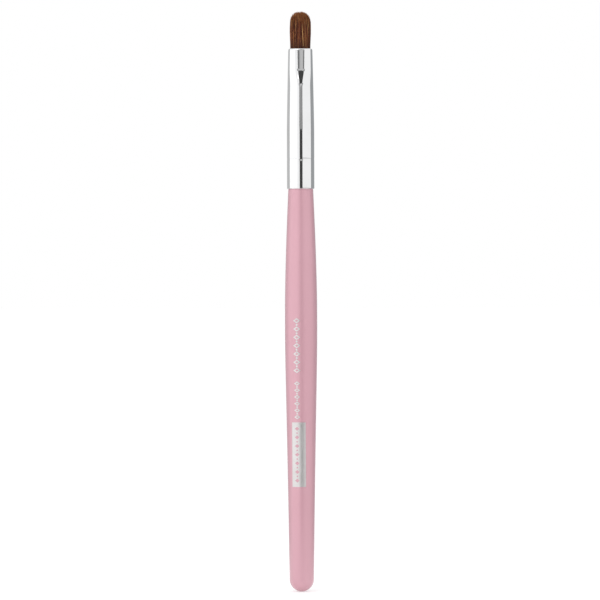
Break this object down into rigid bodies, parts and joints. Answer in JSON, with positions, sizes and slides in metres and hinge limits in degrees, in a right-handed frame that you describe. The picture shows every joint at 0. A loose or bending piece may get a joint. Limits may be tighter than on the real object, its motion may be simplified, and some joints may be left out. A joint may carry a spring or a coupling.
{
  "type": "acrylic nail brush",
  "caption": "Slim acrylic nail brush with a lacquered barrel-shaped handle, a crimped metal ferrule and an oval hair tuft.",
  "frame": {"origin": "lowest point of the handle's rounded butt, on the long axis; the brush stands upright with its hair up", "axes": "+Z along the brush from the butt to the hair; +X across the wide side of the pressed ferrule mouth, to the right seen from the front; -Y is the front, the side with the foil stamping"},
  "size_m": [0.0092, 0.0092, 0.165],
  "materials": {
    "bare_wood": "turned and sanded hardwood, bare on the spigot",
    "pink_lacquer": "dipped rose-pink lacquer with a fine shimmer and a gloss coat",
    "silver_foil": "hot-stamped silver foil",
    "ferrule_metal": "drawn brass tube with bright nickel plating",
    "hair": "dark brown sable hair with lighter strands and reddish tips",
    "thread": "waxed cotton thread",
    "glue": "cured clear amber epoxy"
  },
  "bodies": {
    "root": {"handle_core": "bare_wood", "handle_lacquer": "pink_lacquer", "foil_panel": "silver_foil", "foil_ornaments": "silver_foil", "ferrule": "ferrule_metal", "ferrule_adhesive": "glue", "hair_tuft": "hair", "binding_thread": "thread", "root_epoxy": "glue"}
  },
  "joints": []
}
